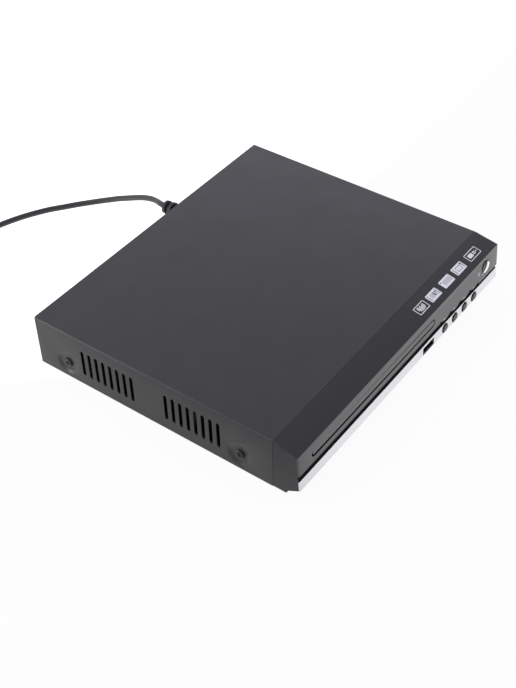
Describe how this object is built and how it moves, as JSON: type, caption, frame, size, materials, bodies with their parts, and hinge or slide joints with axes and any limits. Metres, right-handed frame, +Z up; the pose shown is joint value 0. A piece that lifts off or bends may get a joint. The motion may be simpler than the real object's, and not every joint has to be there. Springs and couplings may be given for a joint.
{
  "type": "dvd player with tray",
  "caption": "Small black disc player: folded steel cover with side vents, gloss front with a sliding disc tray, silver strip with round buttons and a USB socket, captive mains cord.",
  "frame": {"origin": "middle of the underside of the rubber feet, taken without the mains cord", "axes": "+X along the front towards the power button, +Y towards the back panel, +Z up"},
  "size_m": [0.2845, 0.3413, 0.0398],
  "materials": {
    "cover_paint": "satin black paint on sheet steel",
    "steel": "zinc plated sheet",
    "rubber": "matt",
    "screw_black": "black zinc",
    "bezel_black": "fine satin",
    "gloss_black": "gloss",
    "silver_plastic": "silver paint, satin",
    "button_grey": "satin",
    "polished_cap": "polished",
    "board_green": "solder resist",
    "board_tan": "bare paper laminate",
    "chip_black": "matt",
    "capacitor_sleeve": "shrink sleeve",
    "transformer_tape": "tape",
    "ribbon_white": "satin",
    "wire_brown": "satin",
    "black_plastic": "satin",
    "tray_black": "fine satin",
    "phono_insert": "coloured inserts",
    "white_plastic": "natural acetal",
    "brass": "turned",
    "nickel": "nickel plated",
    "cast_metal": "cast",
    "lens_glass": "coated",
    "cord_black": "smooth flexible plastic, slight sheen",
    "tie_white": "satin"
  },
  "bodies": {
    "case": {"top_cover": "cover_paint", "chassis_pan": "steel", "pan_rails": "steel", "standoffs": "nickel", "rear_panel": "steel", "rubber_feet": "rubber", "cover_screws": "screw_black", "front_bezel": "bezel_black", "gloss_fascia": "gloss_black", "silver_trim": "silver_plastic", "front_board": "board_green", "tact_switches": "nickel", "usb_socket": "nickel", "standby_board": "board_green", "standby_parts": "chip_black", "main_board": "board_green", "main_chips": "chip_black", "main_capacitors": "capacitor_sleeve", "power_board": "board_tan", "power_transformer": "transformer_tape", "power_parts": "chip_black", "board_screws": "steel", "front_ribbon": "ribbon_white", "mains_wires": "wire_brown", "phono_block": "black_plastic", "phono_sleeves": "nickel", "phono_inserts": "phono_insert", "loader_frame": "black_plastic", "loader_rails": "black_plastic", "clamp_bridge": "steel", "drive_belt": "rubber", "loading_motor": "nickel", "pickup_ribbon": "ribbon_white", "loader_screws": "steel", "cord_relief": "cord_black", "mains_cord": "cord_black", "cord_coil": "cord_black", "cord_tie": "tie_white", "plug_tail": "cord_black", "mains_plug": "cord_black", "plug_pins": "nickel"},
    "tray": {"disc_tray": "tray_black", "tray_door": "gloss_black"},
    "tray_gear": {"tray_gear": "white_plastic"},
    "pulley_gear": {"pulley_gear": "white_plastic"},
    "motor_pulley": {"motor_pulley": "brass"},
    "cam_slider": {"cam_slider": "white_plastic"},
    "clamp_puck": {"clamp_puck": "white_plastic"},
    "deck": {"tilt_frame": "white_plastic", "deck_plate": "steel", "deck_dampers": "rubber", "spindle_motor": "steel", "guide_rods": "nickel", "sled_motor": "nickel"},
    "turntable": {"turntable": "black_plastic"},
    "lead_screw": {"lead_screw": "nickel"},
    "sled": {"pickup_sled": "cast_metal", "objective_lens": "lens_glass"},
    "button_1": {"button_1": "button_grey"},
    "button_2": {"button_2": "button_grey"},
    "button_3": {"button_3": "button_grey"},
    "button_4": {"button_4": "button_grey"},
    "power_button": {"power_button": "polished_cap"}
  },
  "joints": [
    {"name": "tray_slide", "type": "slide", "parent": "case", "child": "tray", "axis": [0, -1, 0], "range_m": [0, 0.128]},
    {"name": "tray_gear_spin", "type": "hinge", "parent": "case", "child": "tray_gear", "pos_m": [0.0158, -0.06731, 0.025], "axis": [0, 0, 1], "range_deg": [-740, 10]},
    {"name": "pulley_gear_spin", "type": "hinge", "parent": "case", "child": "pulley_gear", "pos_m": [0.0183, -0.0505, 0.023], "axis": [0, 0, 1], "range_deg": [-10, 1060]},
    {"name": "motor_pulley_spin", "type": "hinge", "parent": "case", "child": "motor_pulley", "pos_m": [0.0203, -0.01781, 0.02], "axis": [0, 0, 1], "range_deg": [-20, 2840]},
    {"name": "deck_tilt", "type": "hinge", "parent": "case", "child": "deck", "pos_m": [-0.0337, 0.04719, 0.01775], "axis": [1, 0, 0], "range_deg": [0, 3.2]},
    {"name": "cam_slide", "type": "slide", "parent": "case", "child": "cam_slider", "axis": [1, 0, 0], "range_m": [-0.0001, 0.0121]},
    {"name": "turntable_spin", "type": "hinge", "parent": "deck", "child": "turntable", "pos_m": [-0.0337, -0.03181, 0.023], "axis": [0, 0, 1], "continuous": true},
    {"name": "clamp_puck_spin", "type": "hinge", "parent": "case", "child": "clamp_puck", "pos_m": [-0.0337, -0.03181, 0.035], "axis": [0, 0, 1], "continuous": true},
    {"name": "sled_slide", "type": "slide", "parent": "deck", "child": "sled", "axis": [0, 1, 0], "range_m": [0, 0.034]},
    {"name": "lead_screw_spin", "type": "hinge", "parent": "deck", "child": "lead_screw", "pos_m": [-0.0027, 0.00619, 0.023], "axis": [0, 1, 0], "range_deg": [-20, 4100]},
    {"name": "button_1_press", "type": "slide", "parent": "case", "child": "button_1", "axis": [0, 1, 0], "range_m": [0, 0.0005], "stiffness_N_per_m": 900},
    {"name": "button_2_press", "type": "slide", "parent": "case", "child": "button_2", "axis": [0, 1, 0], "range_m": [0, 0.0005], "stiffness_N_per_m": 900},
    {"name": "button_3_press", "type": "slide", "parent": "case", "child": "button_3", "axis": [0, 1, 0], "range_m": [0, 0.0005], "stiffness_N_per_m": 900},
    {"name": "button_4_press", "type": "slide", "parent": "case", "child": "button_4", "axis": [0, 1, 0], "range_m": [0, 0.0005], "stiffness_N_per_m": 900},
    {"name": "power_button_press", "type": "slide", "parent": "case", "child": "power_button", "axis": [0, 1, 0], "range_m": [0, 0.0009], "stiffness_N_per_m": 700}
  ],
  "couplings": [
    {"joint": "tray_gear_spin", "follows": "tray_slide", "rad_per_m": -100},
    {"joint": "pulley_gear_spin", "follows": "tray_slide", "rad_per_m": 142.86},
    {"joint": "motor_pulley_spin", "follows": "tray_slide", "rad_per_m": 384.62},
    {"joint": "cam_slide", "follows": "deck_tilt", "m_per_rad": 0.21486},
    {"joint": "clamp_puck_spin", "follows": "turntable_spin", "ratio": 1},
    {"joint": "lead_screw_spin", "follows": "sled_slide", "rad_per_m": 2094.4}
  ]
}
